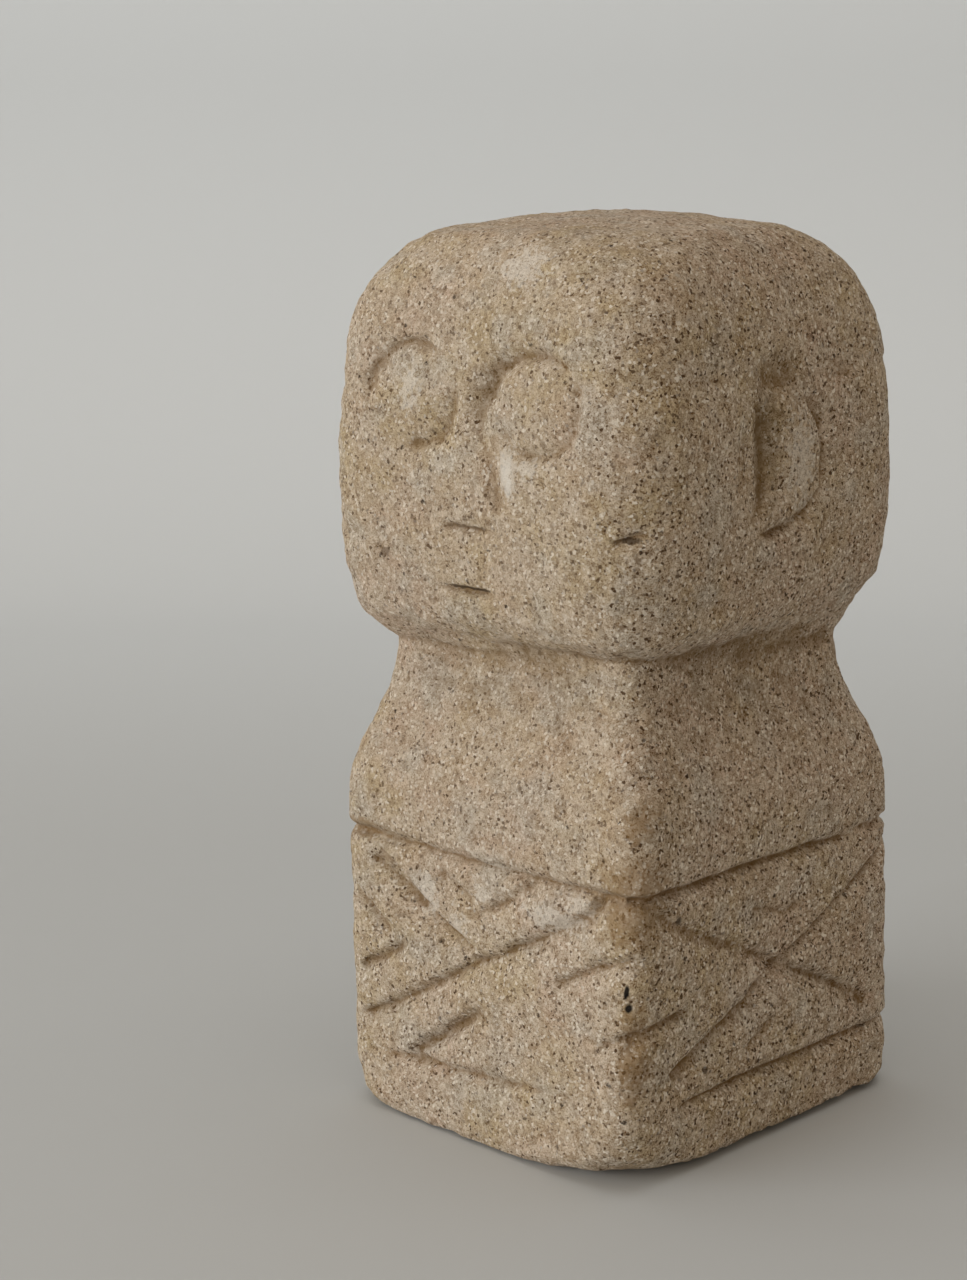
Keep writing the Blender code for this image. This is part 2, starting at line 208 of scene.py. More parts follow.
def soften(side, centre, radii, rounds):
    """Rub the lips off every cut within an area of a side's skin."""
    _, across, up = on_side(side)
    away = ((across / MM - centre[0]) / radii[0]) ** 2 + ((up / MM - centre[1]) / radii[1]) ** 2
    share = np.clip(2 - 2 * away, 0, 1) * (points @ np.array(SIDES[side][0]) > OUTER)
    points[:] += share[:, None] * (relaxed(points, skin, rounds) - points)


BEND_STEPS = 12


def bend(centre, radii, start, end):
    """Path along part of an ellipse; in degrees, 0 is to the right and 90 is up."""
    path = []
    for step in range(BEND_STEPS + 1):
        turn = math.radians(start + (end - start) * step / BEND_STEPS)
        path.append((centre[0] + radii[0] * math.cos(turn), centre[1] + radii[1] * math.sin(turn)))
    return path


# The head is a little fuller at its sides and back than the squared block: millimetres at each height.
FULL_HEIGHTS = (108, 113, 119, 128, 134, 141, 147, 150, 153, 158, 166, 173)
FULL_BY = (0, 0.2, 0.5, 0.6, 0.5, 0.3, 0.3, 1.05, 1.0, 0.7, 0.4, 0)
FULL_AWAY = 0.35
FULL_SPAN = 0.3
NEAR_CORNER = np.array((0.685, -0.729))
spoke = points[:, :2] / np.linalg.norm(points[:, :2], axis=1)[:, None].clip(1e-6)
fuller = np.clip((FULL_AWAY - spoke @ NEAR_CORNER) / FULL_SPAN, 0, 1)
fuller *= np.interp(points[:, 2] / MM, FULL_HEIGHTS, FULL_BY, left=0, right=0) * MM
points[:, :2] += spoke * fuller[:, None]

# So is the body along its far right edge, while the head is leaner along its left one: how much, and
# the heights in millimetres between which it comes and goes.
RIGHT_CORNER = np.array((0.729, 0.685))
CORNER_NARROW = 3
for corner, by, heights, shares in (
    (RIGHT_CORNER, 0.8 * MM, (-1, 0, 74, 88), (0, 1, 1, 0)),
    (-RIGHT_CORNER, -0.6 * MM, (110, 119, 145, 163), (0, 1, 1, 0)),
):
    amount = np.clip(CORNER_NARROW * (spoke @ corner) - (CORNER_NARROW - 1), 0, 1)
    amount *= by * np.interp(points[:, 2] / MM, heights, shares, left=0, right=0)
    points[:, :2] += spoke * amount[:, None]

# The strokes of the band: path, depth, and widths of the sharp and the soft wall, in millimetres, and
# for one of them how many times wider it has grown by its end.
FRONT_STROKES = (
    (((-41, 57.6), (-31, 58.6), (-24, 58.4), (-8, 57.4), (6, 56.9), (20, 57.1), (41, 57.6)), 0.81, 0.9, 2.4),
    (((-22, 13.4), (-15, 14.4), (-8, 13.4), (6, 14.6), (11, 15.2)), 0.54, 0.7, 1.6),
    (((-32, 19.2), (-23, 23.6), (-14, 28.9), (-7, 33.3), (-1.0, 38.0), (5.6, 39.7)), 1.28, 0.8, 3.4),
    (((5.6, 39.5), (8.6, 42.3), (16.8, 46.0), (24, 50.3), (28.4, 53.6), (30.8, 57.0)), 1.35, 0.8, 3.0),
    (((-28.5, 55.5), (-21.4, 51.4), (-14.5, 46.6), (-7.0, 42.0), (-1.0, 39.6)), 1.49, 0.8, 4.2),
    (((-11.5, 54.4), (-5.4, 51.6), (-2.2, 48.9), (0.6, 46.2)), 0.94, 1.0, 3.0),
    (((1.0, 48.0), (5.4, 49.7), (10.8, 52.9), (14.4, 56.0)), 0.81, 0.9, 2.6),
    (((-34.8, 45.8), (-29.3, 41.8), (-22.2, 38.6), (-20.3, 36.9)), 0.88, 1.0, 2.8),
    (((-33.5, 28.8), (-26.3, 32.8), (-20.7, 36.6)), 1.01, 0.9, 2.4),
    (((19.6, 38.2), (24.8, 39.9), (30.5, 43.6), (40, 46.4)), 0.88, 0.9, 2.6),
    (((31.5, 29.1), (39.9, 31.5)), 0.54, 0.7, 1.4),
    (((-18, 14.8), (-12.0, 18.2), (-4.2, 24.4), (1.6, 28.2)), 0.94, 1.0, 2.4, 1.7),
)
RIGHT_STROKES = (
    (((-40, 57.6), (-20, 57.4), (10, 57.3), (24, 56.6)), 1.29, 0.8, 1.8),
    (((-27, 14.2), (-5, 14.8), (15, 14.3), (46, 14.8)), 1.10, 0.9, 1.8),
    (((-30.7, 21.6), (-24.7, 23.2), (-14.2, 27.2), (-6.5, 30.0), (-1.0, 34.4)), 1.82, 0.8, 3.2),
    (((0.0, 35.0), (5.5, 36.6), (15.7, 41.0), (27.4, 46.4), (33.9, 50.5), (39, 55.0)), 1.55, 0.8, 2.0),
    (((-37, 55.0), (-27.4, 50.0), (-14.2, 43.6), (4.6, 33.8), (13.9, 29.3), (32.1, 19.9)), 1.03, 1.3, 2.4),
    (((-7.1, 49.1), (4, 45.7), (8.1, 46.6)), 0.52, 0.6, 1.1),
    (((-42.0, 31.1), (-37.0, 32.3), (-27.2, 33.3)), 1.03, 0.8, 1.9),
    (((-38.4, 30.3), (-42.5, 27)), 0.60, 0.9, 1.3),
    (((-7.9, 20.3), (-1.8, 22.6), (0.9, 24.9)), 0.69, 0.8, 1.7),
    (((-40.3, 46.4), (-36.1, 43.3)), 0.60, 0.9, 1.4),
)

# The squared block's plain grooves are rubbed down first, most of all where the lower border ends.
soften("front", (0, 36), (60, 34), 6)
soften("right", (0, 36), (60, 34), 6)
soften("right", (31, 15.4), (9, 4.5), 60)
for side, strokes in (("front", FRONT_STROKES), ("right", RIGHT_STROKES)):
    for stroke in strokes:
        cut(side, *stroke)
dish("right", (29.6, 15.5), (2.6, 1.3), -0.40)

# The face: brows that shade round eye bosses, a narrow nose between them, slits for nostrils and mouth.
soften("front", (1, 143), (36, 24), 30)
cut("front", bend((-15.8, 146.8), (11.6, 10.0), 184, 62), 1.05, 0.9, 2.2, 0.6)
cut("front", bend((-13.6, 147.0), (8.6, 9.0), 250, 372), 1.30, 1.2, 2.4, 0.8)
dish("front", (-8.4, 142.8), (1.8, 1.8), 0.50)
dish("front", (-16.2, 147.2), (6.5, 6.0), -0.50)
cut("front", ((7.0, 126.0), (6.0, 130.5), (4.6, 136.0), (3.0, 140.5), (2.0, 144.0)), 0.45, 0.9, 1.5, 4.0)
dish("front", (16.4, 146.2), (7.4, 6.6), -0.70)
cut("front", bend((16.2, 146.3), (9.4, 8.7), 205, 395), 0.95, 1.2, 1.7, 0.7)
cut("front", bend((15.6, 143.0), (13.8, 12.3), 182, 56), 1.85, 2.7, 2.1, 0.26)
dish("front", (0.5, 125.2), (5.0, 2.2), -0.30)
cut("front", ((-7.3, 122.9), (0.0, 122.7), (6.1, 122.6)), 0.70, 0.5, 0.9)
cut("front", ((-8.8, 110.9), (-2.0, 110.9), (4.6, 110.9)), 0.90, 0.5, 1.0)
cut("front", ((10.0, 125.4), (13.1, 125.0)), 0.45, 0.8, 0.8)
cut("right", ((-41.0, 123.2), (-39.0, 123.8), (-37.0, 124.4)), 1.40, 0.7, 1.2)

# The ear: a lobe like a half moon, its outer edge raised and cut round, a hollow before it, one above.
EAR_RIM = (
    (5.4, 146.2), (9.6, 140.8), (11.0, 134.8), (10.0, 129.2), (6.6, 125.8), (1.4, 123.6), (-4.8, 122.2),
)
EAR_CUT = (
    (7.0, 146.6), (11.2, 141.2), (12.6, 134.6), (11.4, 128.6), (7.4, 124.6), (1.6, 122.4), (-5.0, 121.0),
)
EAR_HOLLOW = ((-5.2, 144.0), (-3.6, 139.4), (-2.8, 134.8), (-4.4, 130.6), (-7.2, 127.8))
soften("right", (1.5, 138), (18, 22), 26)
cut("right", EAR_RIM, -0.90, 1.0, 3.4)
cut("right", EAR_CUT[::-1], 1.10, 0.9, 1.9)
cut("right", EAR_HOLLOW, 0.60, 2.4, 3.4, 0.8)
dish("right", (-4.6, 137.4), (4.4, 11.0), 1.25)
dish("right", (-1.0, 149.6), (10.0, 5.0), 0.28)
dish("right", (-0.6, 144.4), (3.0, 2.8), -0.45)
write_points(skin, points)

# Worn faces: broad hollows left by squaring, shallow chatter of the point, and sand grains plucked out.
RELIEF = (
    (24.0 * MM, 0.14 * MM),
    (9.0 * MM, 0.06 * MM),
    (3.6 * MM, 0.08 * MM),
    (1.7 * MM, 0.09 * MM),
    (1.0 * MM, 0.07 * MM),
)
PLUCKED_SIZE = 1.8 * MM
PLUCKED_DEPTH = 0.30 * MM
PLUCKED_SHARE = 0.40
FLAT_FOOT = 2.0 * MM

outward = read_outward(skin)
height = np.zeros(len(points))
for number, (size, depth) in enumerate(RELIEF):
    height += depth * lumps(points, size, STONE_SEED + 10 + number)
plucked = lumps(points, PLUCKED_SIZE, STONE_SEED + 30) - PLUCKED_SHARE
height -= PLUCKED_DEPTH * np.clip(plucked / (1 - PLUCKED_SHARE), 0, 1)
grounded = np.clip(points[:, 2] / FLAT_FOOT, 0, 1)
points += outward * (height * grounded)[:, None]
points[:, 2] = np.maximum(points[:, 2], 0.0)

# The foot is undercut where it has chipped along the floor: by most on the right, barely in front. The
# chip's ragged lip comes down to the floor towards the front (1) and the back (-1).
CHIP_HEIGHT = 1.6 * MM
CHIP_LUMP = 2.4 * MM
CHIP_RAGGED = 0.35
CHIP_LIP = 0.35 * MM
CHIP_ENDS = (
    (1, 50 * MM, 22 * MM, 0.4),
    (-1, 54 * MM, 25 * MM, 0.3),
)
CHIP_RIGHT = 2.2 * MM
CHIP_RIGHT_FROM = 34 * MM
CHIP_RIGHT_RUN = 6 * MM
CHIP_FRONT = 0.5 * MM
CHIP_FRONT_FROM = 36 * MM
CHIP_FRONT_RUN = 5 * MM
edge = CHIP_HEIGHT * (1 + CHIP_RAGGED * lumps(points, CHIP_LUMP, STONE_SEED + 40))
for towards, end, run, least in CHIP_ENDS:
    edge *= np.clip((towards * points[:, 1] + end) / run, least, 1)
chipped = np.clip((edge - points[:, 2]) / CHIP_LIP, 0, 1)
right_share = np.clip((points[:, 0] - CHIP_RIGHT_FROM) / CHIP_RIGHT_RUN, 0, 1)
front_share = np.clip((-points[:, 1] - CHIP_FRONT_FROM) / CHIP_FRONT_RUN, 0, 1)
points[:, 0] -= CHIP_RIGHT * chipped * right_share
points[:, 1] += CHIP_FRONT * chipped * front_share
write_points(skin, points)
skin = finished(figure, "DECIMATE", ratio=MOST_TRIANGLES / (2 * len(skin.polygons)))

# How deep each place lies in a cut or under the head, where dirt stays and where shade falls.
CUT_ROUNDS = 36
HOLLOW_ROUNDS = 160
points = read_points(skin)
outward = read_outward(skin)
near = np.einsum("ij,ij->i", relaxed(points, skin, CUT_ROUNDS) - points, outward) / MM
broad = np.einsum("ij,ij->i", relaxed(points, skin, HOLLOW_ROUNDS) - points, outward) / MM

# How strongly the grain is marked: most on the right, the side in shade, where the extra contrast is painted
# light and shade on the grain; less on the back, the left and down towards the foot.
TURN_ROUNDS = 6
CONTRAST_LEFT = 0.5
CONTRAST_BACK = 0.6
CONTRAST_LOW = 0.3
LOW_FROM = 80
LOW_RUN = 40
turned = relaxed(outward, skin, TURN_ROUNDS)
grain_contrast = np.clip(turned[:, 0], 0, 1)
grain_contrast += CONTRAST_LEFT * np.clip(-turned[:, 0], 0, 1)
grain_contrast += CONTRAST_BACK * np.clip(turned[:, 1], 0, 1)
grain_contrast += CONTRAST_LOW * np.clip((LOW_FROM - points[:, 2] / MM) / LOW_RUN, 0, 1)

# Broad marks, each with its middle and reach in millimetres: chalky rubs of its life and ochre stains, and
# among the pale ones a painted highlight on the ear's lobe.
PALE_RUBS_AND_HIGHLIGHT = (
    ((10.4, -42.0, 134.2), (2.2, 9.0, 4.0)),
    ((14.8, -42.0, 135.0), (2.0, 9.0, 2.0)),
    ((8.6, -36.0, 171.0), (5.0, 12.0, 3.0)),
    ((-15.2, -42.0, 148.0), (2.6, 9.0, 4.2)),
    ((-13.0, -41.0, 48.5), (2.4, 8.0, 3.6)),
    ((-4.5, -41.0, 44.0), (1.8, 8.0, 2.2)),
    ((20.0, -41.0, 50.6), (6.0, 8.0, 2.2)),
    ((26.0, -41.0, 54.0), (3.0, 8.0, 1.8)),
    ((1.5, -41.0, 52.4), (2.6, 8.0, 1.8)),
    # Painted highlight: the ear's lobe made paler where its raised face takes the light.
    ((40.0, 4.6, 134.0), (6.0, 3.4, 8.0)),
)
OCHRE = (
    ((38.6, -40.6, 57.0), (8.0, 8.0, 8.0)),
    ((38.6, -40.0, 73.0), (2.2, 5.0, 4.0)),
    ((38.6, -41.0, 28.0), (2.4, 5.0, 9.0)),
    ((-31.0, -41.0, 58.6), (9.0, 6.0, 2.2)),
    ((-40.6, -40.0, 57.4), (3.0, 8.0, 2.2)),
)
WELL_OUTSIDE = -2


def marked(marks):
    """How far inside the nearest of the marks each point lies: 1 in its middle, 0 at its edge."""
    inside = [1 - np.linalg.norm((points / MM - middle) / reach, axis=1) for middle, reach in marks]
    return np.clip(np.max(inside, axis=0), WELL_OUTSIDE, 1)


fields = {
    "cut_depth": near,
    "hollow_depth": broad,
    "grain_contrast": grain_contrast,
    "pale_rubs_and_highlight": marked(PALE_RUBS_AND_HIGHLIGHT),
    "ochre": marked(OCHRE),
}
for name, values in fields.items():
    layer = skin.attributes.new(name, "FLOAT", "POINT")
    layer.data.foreach_set("value", values.astype(np.float32))
for face in skin.polygons:
    face.use_smooth = True


def linear(hex_colour):
    """sRGB hex value as a linear colour."""
    channels = []
    for start in (0, 2, 4):
        value = int(hex_colour[start:start + 2], 16) / 255
        channels.append(value / 12.92 if value <= 0.04045 else ((value + 0.055) / 1.055) ** 2.4)
    return (*channels, 1.0)


def add(tree, kind, inputs=None, **settings):
    """Add a node with its settings; an input is a value or the output of another node."""
    node = tree.nodes.new(kind)
    for name, value in settings.items():
        setattr(node, name, value)
    for socket, value in (inputs or {}).items():
        if isinstance(value, bpy.types.NodeSocket):
            tree.links.new(value, node.inputs[socket])
        else:
            node.inputs[socket].default_value = value
    return node


MIX_A, MIX_B, MIX_RESULT = 6, 7, 2

# Coarse beige sandstone, hand-rubbed: matt and open-grained, pinkish and straw-coloured by turns,
# peppered with brown and cream grains of about 1 mm.
sandstone = bpy.data.materials.new("coarse_sandstone_hand_rubbed")
sandstone.use_nodes = True
tree = sandstone.node_tree
shader = tree.nodes["Principled BSDF"]
place = add(tree, "ShaderNodeTexCoord").outputs["Object"]
in_mm = add(tree, "ShaderNodeMapping", {"Vector": place, "Scale": (1 / MM,) * 3}).outputs[0]

PATCH_MM = 24.0
patches = add(tree, "ShaderNodeTexNoise", {"Vector": in_mm, "Scale": 1 / PATCH_MM, "Detail": 2.0})
patch_share = add(tree, "ShaderNodeMapRange", {0: patches.outputs["Fac"], 1: 0.40, 2: 0.60}).outputs[0]
colour = add(tree, "ShaderNodeMix", {0: patch_share, MIX_A: linear("b9a38d"), MIX_B: linear("b4a081")},
             data_type="RGBA").outputs[MIX_RESULT]

CLOUD_MM = 5.0
clouds = add(tree, "ShaderNodeTexNoise", {"Vector": in_mm, "Scale": 1 / CLOUD_MM, "Detail": 3.0})
cloud_share = add(tree, "ShaderNodeMapRange", {0: clouds.outputs["Fac"], 1: 0.35, 2: 0.65}).outputs[0]
colour = add(tree, "ShaderNodeMix", {0: cloud_share, MIX_A: colour, MIX_B: linear("bdac97")},
             data_type="RGBA").outputs[MIX_RESULT]

GREY_MM = 11.0
GREY_SHIFT_MM = (310.0, 170.0, 230.0)
elsewhere = add(tree, "ShaderNodeVectorMath", {0: in_mm, 1: GREY_SHIFT_MM}, operation="ADD")
greys = add(tree, "ShaderNodeTexNoise",
            {"Vector": elsewhere.outputs[0], "Scale": 1 / GREY_MM, "Detail": 3.0})
grey_share = add(tree, "ShaderNodeMapRange", {0: greys.outputs["Fac"], 1: 0.54, 2: 0.66, 4: 0.5}).outputs[0]
colour = add(tree, "ShaderNodeMix", {0: grey_share, MIX_A: colour, MIX_B: linear("b6ad9f")},
             data_type="RGBA").outputs[MIX_RESULT]

# Grains: cells of about 1 mm, a little taller than wide, each with its own tint, and finer sand between.
GRAIN_MM = 0.90
GRAIN_TALL = 1.3
SAND_MM = 0.50
GRIT_MM = 0.28
PORE_MM = 2.9
DRIFT_MM = 0.625
BEND_MM = 1.2
drift = add(tree, "ShaderNodeTexNoise", {"Vector": in_mm, "Scale": 1 / DRIFT_MM, "Detail": 1.0})
drift = drift.outputs["Color"]
drift = add(tree, "ShaderNodeVectorMath", {0: drift, 1: (0.5, 0.5, 0.5)}, operation="SUBTRACT").outputs[0]
drift = add(tree, "ShaderNodeVectorMath", {0: drift, 3: BEND_MM}, operation="SCALE").outputs[0]
bent = add(tree, "ShaderNodeVectorMath", {0: in_mm, 1: drift}, operation="ADD").outputs[0]
upright = add(tree, "ShaderNodeMapping", {"Vector": bent, "Scale": (1, 1, 1 / GRAIN_TALL)}).outputs[0]
grains = add(tree, "ShaderNodeTexVoronoi", {"Vector": upright, "Scale": 1 / GRAIN_MM})
tints = add(tree, "ShaderNodeSeparateColor", {0: grains.outputs["Color"]})
sand = add(tree, "ShaderNodeTexVoronoi", {"Vector": in_mm, "Scale": 1 / SAND_MM})
sand_tints = add(tree, "ShaderNodeSeparateColor", {0: sand.outputs["Color"]})
grit = add(tree, "ShaderNodeTexNoise", {"Vector": in_mm, "Scale": 1 / GRIT_MM, "Detail": 1.0}).outputs["Fac"]

# The grain is strongest on the right, the side in shade, where its extra contrast is painted light and
# shade; the face and chest have the least.
grain_contrast = add(tree, "ShaderNodeAttribute", attribute_name="grain_contrast").outputs["Fac"]
contrast = add(tree, "ShaderNodeMapRange", {0: grain_contrast, 1: 0.0, 2: 1.3, 3: 1.20, 4: 2.10}).outputs[0]
pits = add(tree, "ShaderNodeMapRange", {0: grit, 1: 0.28, 2: 0.46, 3: 0.05, 4: 0.53}).outputs[0]
shade = None
for source, depth in ((tints.outputs[2], 0.22), (sand_tints.outputs[0], 0.28), (grit, 0.80), (pits, 0.45)):
    middle = add(tree, "ShaderNodeMath", {0: source, 1: 0.5}, operation="SUBTRACT").outputs[0]
    inputs = {0: middle, 1: depth, 2: 0.0 if shade is None else shade}
    shade = add(tree, "ShaderNodeMath", inputs, operation="MULTIPLY_ADD").outputs[0]
shade = add(tree, "ShaderNodeMath", {0: shade, 1: contrast}, operation="MULTIPLY").outputs[0]
inputs = {0: shade, 1: (0.85, 1.00, 1.20), 2: (1, 1, 1)}
shade = add(tree, "ShaderNodeVectorMath", inputs, operation="MULTIPLY_ADD").outputs[0]
colour = add(tree, "ShaderNodeVectorMath", {0: colour, 1: shade}, operation="MULTIPLY").outputs[0]
body = add(tree, "ShaderNodeMapRange", {0: grains.outputs["Distance"], 1: 0.70, 2: 0.40}).outputs[0]
pores = add(tree, "ShaderNodeTexVoronoi", {"Vector": bent, "Scale": 1 / PORE_MM})
pore_inputs = {0: grit, 1: -0.25, 2: pores.outputs["Distance"]}
pore = add(tree, "ShaderNodeMath", pore_inputs, operation="MULTIPLY_ADD").outputs[0]
pore = add(tree, "ShaderNodeMapRange", {0: pore, 1: 0.05, 2: -0.04}).outputs[0]
pore_tints = add(tree, "ShaderNodeSeparateColor", {0: pores.outputs["Color"]})
for tint, fewest, strength, mark_colour, extent in (
    (tints.outputs[0], 0.76, 0.55, "735b42", body),
    (tints.outputs[1], 0.78, 0.42, "ddcfba", body),
    (sand_tints.outputs[1], 0.87, 0.72, "59432e", None),
    (sand_tints.outputs[2], 0.85, 0.58, "e9dfd0", None),
    (pore_tints.outputs[0], 0.30, 1.00, "35251a", pore),
):
    share = add(tree, "ShaderNodeMapRange", {0: tint, 1: fewest, 4: strength}).outputs[0]
    share = add(tree, "ShaderNodeMath", {0: share, 1: extent or contrast}, operation="MULTIPLY").outputs[0]
    colour = add(tree, "ShaderNodeMix", {0: share, MIX_A: colour, MIX_B: linear(mark_colour)},
                 data_type="RGBA").outputs[MIX_RESULT]

# Ochre dust and dirt in the cuts and under the head, together with painted shade that darkens them the
# deeper they lie.
DIRT_AND_SHADE_MM = 3.0
patchy = add(tree, "ShaderNodeTexNoise", {"Vector": in_mm, "Scale": 1 / DIRT_AND_SHADE_MM, "Detail": 2.0})
patchy = patchy.outputs["Fac"]
for layer, shallow, deep, strength, mark_colour in (
    ("cut_depth", 0.05, 0.60, 0.50, "7f6039"),
    ("hollow_depth", 0.25, 2.20, 0.52, "675029"),
):
    dirt_and_shade = add(tree, "ShaderNodeAttribute", attribute_name=layer).outputs["Fac"]
    dirt_and_shade = add(tree, "ShaderNodeMapRange", {0: dirt_and_shade, 1: shallow, 2: deep}).outputs[0]
    ragged = add(tree, "ShaderNodeMapRange", {0: patchy, 1: 0.3, 2: 0.7, 3: 0.45, 4: 1.0}).outputs[0]
    ragged = add(tree, "ShaderNodeMath", {0: ragged, 1: strength}, operation="MULTIPLY").outputs[0]
    ragged = add(tree, "ShaderNodeMath", {0: ragged, 1: contrast}, operation="MULTIPLY").outputs[0]
    dirt_and_shade = add(tree, "ShaderNodeMath", {0: dirt_and_shade, 1: ragged}, operation="MULTIPLY", use_clamp=True)
    dirt_and_shade = dirt_and_shade.outputs[0]
    colour = add(tree, "ShaderNodeMix", {0: dirt_and_shade, MIX_A: colour, MIX_B: linear(mark_colour)},
                 data_type="RGBA").outputs[MIX_RESULT]

# Chalky rubs, the painted highlight on the ear's lobe and ochre stains, torn at their edges and broken by
# the grit.
TORN_MM = 1.4
torn = add(tree, "ShaderNodeTexNoise", {"Vector": in_mm, "Scale": 1 / TORN_MM, "Detail": 2.0}).outputs["Fac"]
torn = add(tree, "ShaderNodeMath", {0: torn, 1: 0.5}, operation="SUBTRACT").outputs[0]
broken = add(tree, "ShaderNodeMapRange", {0: grit, 1: 0.30, 2: 0.55, 3: 0.35, 4: 1.0}).outputs[0]
for layer, ragged, strength, mark_colour in (("pale_rubs_and_highlight", 4.0, 0.66, "dcd3c6"), ("ochre", 2.5, 0.62, "8a6a40")):
    inside = add(tree, "ShaderNodeAttribute", attribute_name=layer).outputs["Fac"]
    inside = add(tree, "ShaderNodeMath", {0: torn, 1: ragged, 2: inside}, operation="MULTIPLY_ADD")
    inside = inside.outputs[0]
    share = add(tree, "ShaderNodeMapRange", {0: inside, 1: -0.25, 2: 0.35, 4: strength}).outputs[0]
    share = add(tree, "ShaderNodeMath", {0: share, 1: broken}, operation="MULTIPLY").outputs[0]
    colour = add(tree, "ShaderNodeMix", {0: share, MIX_A: colour, MIX_B: linear(mark_colour)},
                 data_type="RGBA").outputs[MIX_RESULT]

# Small marks, each with its middle and reach in millimetres, how ragged and strong it is, and its
# colour: the fresh pale scuff beside the nose, dirt and painted shade in the ear's hollow, painted
# shade in the hollow above it, painted shadow along the chipped foot, painted shade in the slits and
# in the nick by the cheek, dark flecks and two black touches.
SMALL_MARKS_AND_SHADES = (
    ((9.6, -42.0, 134.9), (1.5, 6.0, 3.2), 3.6, 0.58, "dfd8cd"),
    ((10.6, -42.0, 131.4), (0.8, 6.0, 1.4), 3.6, 0.55, "dfd8cd"),
    # Dirt and painted shade in the ear's hollow; painted shade in the hollow above the ear.
    ((40.0, -4.8, 137.5), (8.0, 3.4, 10.5), 2.0, 0.34, "66522f"),
    ((40.0, -1.0, 149.6), (8.0, 9.0, 4.6), 3.0, 0.20, "6b552f"),
    # Painted shadow: near-black along the right foot's lowest 1.5 mm and dark brown along the front foot's
    # lowest half-millimetre, where the chipped foot stands clear of the floor in shade.
    ((42.0, 0.0, 0.0), (9.0, 80.0, 1.50), 0.6, 0.96, "1e1209"),
    ((0.0, -43.0, 0.0), (70.0, 9.0, 0.45), 0.6, 0.75, "4a3722"),
    # Painted shade in the nostril and mouth slits and in the nick by the cheek.
    ((-0.6, -42.0, 123.0), (4.8, 6.0, 0.35), 2.6, 0.50, "4f3a25"),
    ((-0.8, -42.0, 111.3), (5.2, 6.0, 0.40), 2.6, 0.78, "352514"),
    ((37.5, -39.0, 123.9), (4.0, 1.7, 0.5), 3.0, 0.75, "3d2b19"),
    ((-22.6, -41.0, 116.0), (1.3, 6.0, 1.0), 3.0, 0.60, "54402c"),
    ((39.4, -20.4, 19.9), (5.0, 0.8, 0.7), 2.0, 0.75, "3c2d20"),
    ((40.0, -29.0, 51.6), (5.0, 0.6, 0.8), 2.0, 0.75, "33261b"),
    ((37.4, -41.3, 40.4), (0.42, 4.0, 1.3), 1.2, 0.97, "0f0c0a"),
    ((37.8, -41.3, 37.3), (0.58, 4.0, 0.9), 1.2, 0.97, "0f0c0a"),
)
for middle, reach, ragged, strength, mark_colour in SMALL_MARKS_AND_SHADES:
    away_from = add(tree, "ShaderNodeVectorMath", {0: in_mm, 1: middle}, operation="SUBTRACT").outputs[0]
    away_from = add(tree, "ShaderNodeVectorMath", {0: away_from, 1: reach}, operation="DIVIDE").outputs[0]
    distance = add(tree, "ShaderNodeVectorMath", {0: away_from}, operation="LENGTH").outputs["Value"]
    distance = add(tree, "ShaderNodeMath", {0: torn, 1: ragged, 2: distance}, operation="MULTIPLY_ADD")
    distance = distance.outputs[0]
    share = add(tree, "ShaderNodeMapRange", {0: distance, 1: 1.25, 2: 0.75, 4: strength}).outputs[0]
    colour = add(tree, "ShaderNodeMix", {0: share, MIX_A: colour, MIX_B: linear(mark_colour)},
                 data_type="RGBA").outputs[MIX_RESULT]
tree.links.new(colour, shader.inputs["Base Color"])

shader.inputs["Roughness"].default_value = 0.93
shader.inputs["Specular IOR Level"].default_value = 0.25
shader.inputs["Metallic"].default_value = 0.0

# Relief too fine for the mesh: the finer sand stands up.
SAND_RISE = 0.17 * MM
rise = add(tree, "ShaderNodeMath", {0: grit, 1: 0.5, 2: sand_tints.outputs[0]}, operation="MULTIPLY_ADD")
bump = add(tree, "ShaderNodeBump", {"Strength": 1.0, "Distance": SAND_RISE, "Height": rise.outputs[0]})
tree.links.new(bump.outputs[0], shader.inputs["Normal"])
skin.materials.clear()
skin.materials.append(sandstone)

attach(figure, "root")
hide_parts("stone_figure")


# The stage: a sheet of pale matt card, flat under the figurine and swept up behind it.

CARD_FRONT = -2.5
CARD_BEND = 0.48
CARD_RADIUS = 0.22
CARD_TOP = 2.2
CARD_WIDTH = 6.0
CARD_STEPS = 24
VIEW_TURN = math.radians(43.2073)

profile = [(CARD_FRONT, 0.0)]
for step in range(CARD_STEPS + 1):
    turn = math.radians(90 * step / CARD_STEPS)
    profile.append((CARD_BEND + CARD_RADIUS * math.sin(turn), CARD_RADIUS * (1 - math.cos(turn))))
profile.append((CARD_BEND + CARD_RADIUS, CARD_TOP))
away = Vector((-math.sin(VIEW_TURN), math.cos(VIEW_TURN), 0))
across = Vector((math.cos(VIEW_TURN), math.sin(VIEW_TURN), 0))
mesh = bmesh.new()
rows = []
for distance, rise in profile:
    middle = away * distance + Vector((0, 0, rise))
    rows.append([mesh.verts.new(middle + across * side * CARD_WIDTH / 2) for side in (-1, 1)])
for (left, right), (next_left, next_right) in zip(rows, rows[1:]):
    mesh.faces.new((left, right, next_right, next_left))
data = bpy.data.meshes.new("pale_card")
mesh.to_mesh(data)
mesh.free()
for face in data.polygons:
    face.use_smooth = True
card = bpy.data.objects.new("pale_card", data)
bpy.context.scene.collection.objects.link(card)

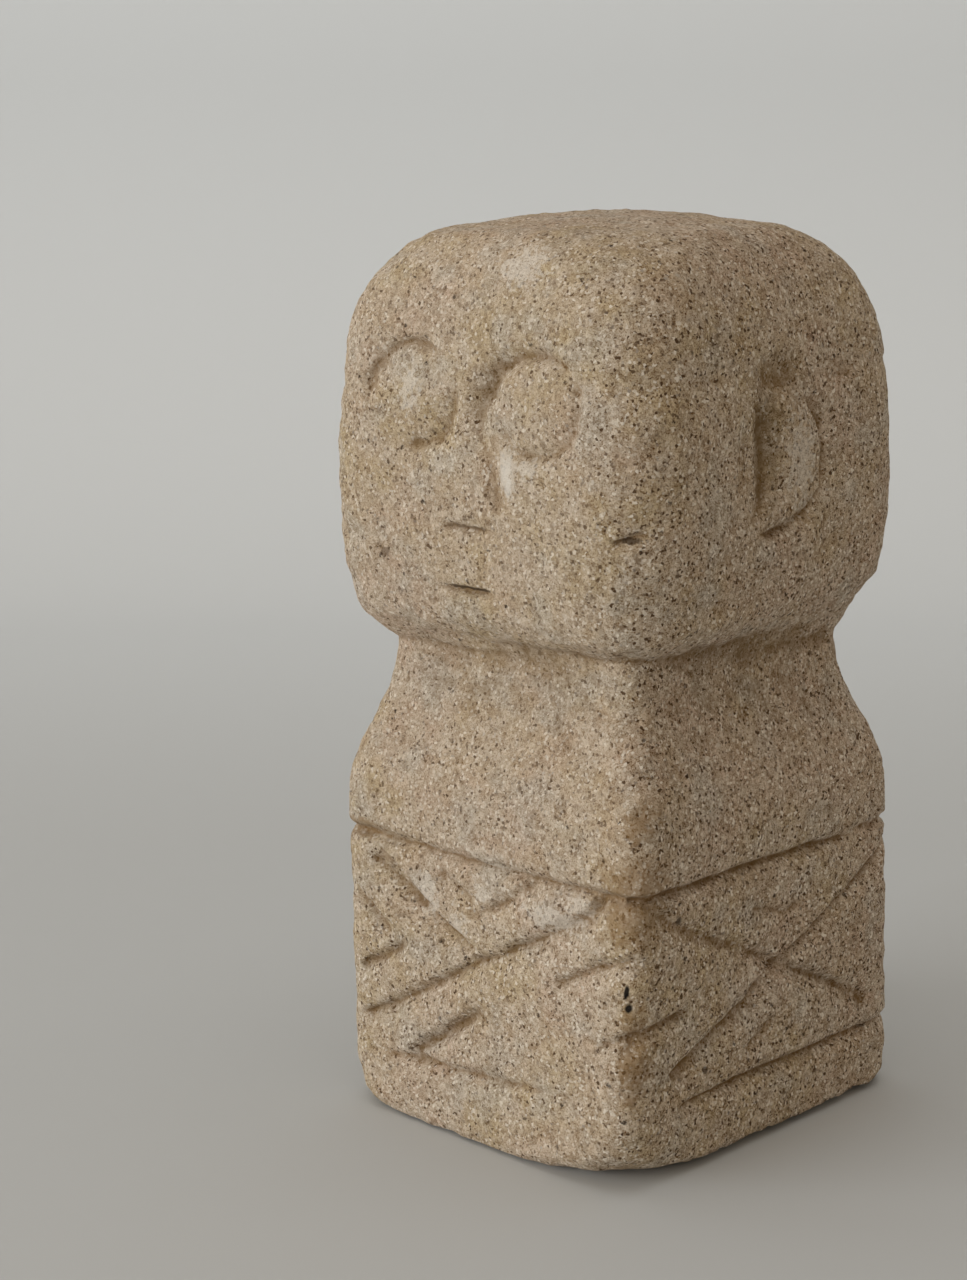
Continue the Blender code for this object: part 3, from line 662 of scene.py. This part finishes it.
# Matt white card: an even, pale, very slightly cool grey with no shine.
paper = bpy.data.materials.new("matt_card")
paper.use_nodes = True
paper_shader = paper.node_tree.nodes["Principled BSDF"]
paper_shader.inputs["Base Color"].default_value = linear("c9cccd")
paper_shader.inputs["Roughness"].default_value = 0.9
paper_shader.inputs["Specular IOR Level"].default_value = 0.2
data.materials.append(paper)


# The light: a large soft window low on the left, a pale ceiling, a wash on the card behind, and an
# even warm grey room around it all.

WINDOW_POWER = 70.5
CEILING_POWER = 9.5
WASH_POWER = 0.80
ROOM_STRENGTH = 0.55


def soft_light(name, place, target, width, height, power, colour=(1, 1, 1)):
    data = bpy.data.lights.new(name, "AREA")
    data.energy = power
    data.color = colour
    data.shape = "RECTANGLE"
    data.size = width
    data.size_y = height
    lamp = bpy.data.objects.new(name, data)
    bpy.context.scene.collection.objects.link(lamp)
    lamp.location = place
    lamp.rotation_euler = (Vector(target) - Vector(place)).to_track_quat("-Z", "Y").to_euler()
    lamp.visible_camera = False


soft_light("window", (-1.28, -2.64, 0.38), (0, 0, 0.09), 2.2, 2.0, WINDOW_POWER, (0.97, 0.99, 1.0))
soft_light("ceiling", (0.0, 0.1, 2.2), (0, 0, 0), 2.0, 2.0, CEILING_POWER)
wash_from = away * 0.42 + across * 0.15 + Vector((0, 0, 0.45))
wash_to = away * 0.70 + across * 0.15 + Vector((0, 0, 0.30))
soft_light("wash", wash_from, wash_to, 1.2, 0.15, WASH_POWER)

world = bpy.data.worlds.new("grey_room")
bpy.context.scene.world = world
world.use_nodes = True
world.node_tree.nodes["Background"].inputs[0].default_value = linear("dacbb8")
world.node_tree.nodes["Background"].inputs[1].default_value = ROOM_STRENGTH
bpy.context.scene.view_settings.view_transform = "Standard"


# The camera: a phone held a little above the head, turned to the edge between face and ear.

VIEW_TILT = math.radians(11.8269)
VIEW_ROLL = math.radians(-0.3407)
VIEW_DISTANCE = 493.99 * MM
VIEW_AIM = Vector((0.60, -0.43, 88.28)) * MM
VIEW_SLIDE = -26.763 * MM
VIEW_RAISE = 6.781 * MM
VIEW_LENS = 68.97

forward = away * math.cos(VIEW_TILT) + Vector((0, 0, -math.sin(VIEW_TILT)))
upward = across.cross(forward)
right = across * math.cos(VIEW_ROLL) + upward * math.sin(VIEW_ROLL)
top = upward * math.cos(VIEW_ROLL) - across * math.sin(VIEW_ROLL)
stance = Matrix((right, top, -forward)).transposed().to_4x4()
stance.translation = VIEW_AIM - forward * VIEW_DISTANCE + across * VIEW_SLIDE + upward * VIEW_RAISE
lens = bpy.data.cameras.new("viewpoint")
lens.sensor_fit = "AUTO"
lens.sensor_width = 36.0
lens.lens = VIEW_LENS
lens.clip_start = 0.01
viewpoint = bpy.data.objects.new("viewpoint", lens)
bpy.context.scene.collection.objects.link(viewpoint)
viewpoint.matrix_world = stance
bpy.context.scene.camera = viewpoint
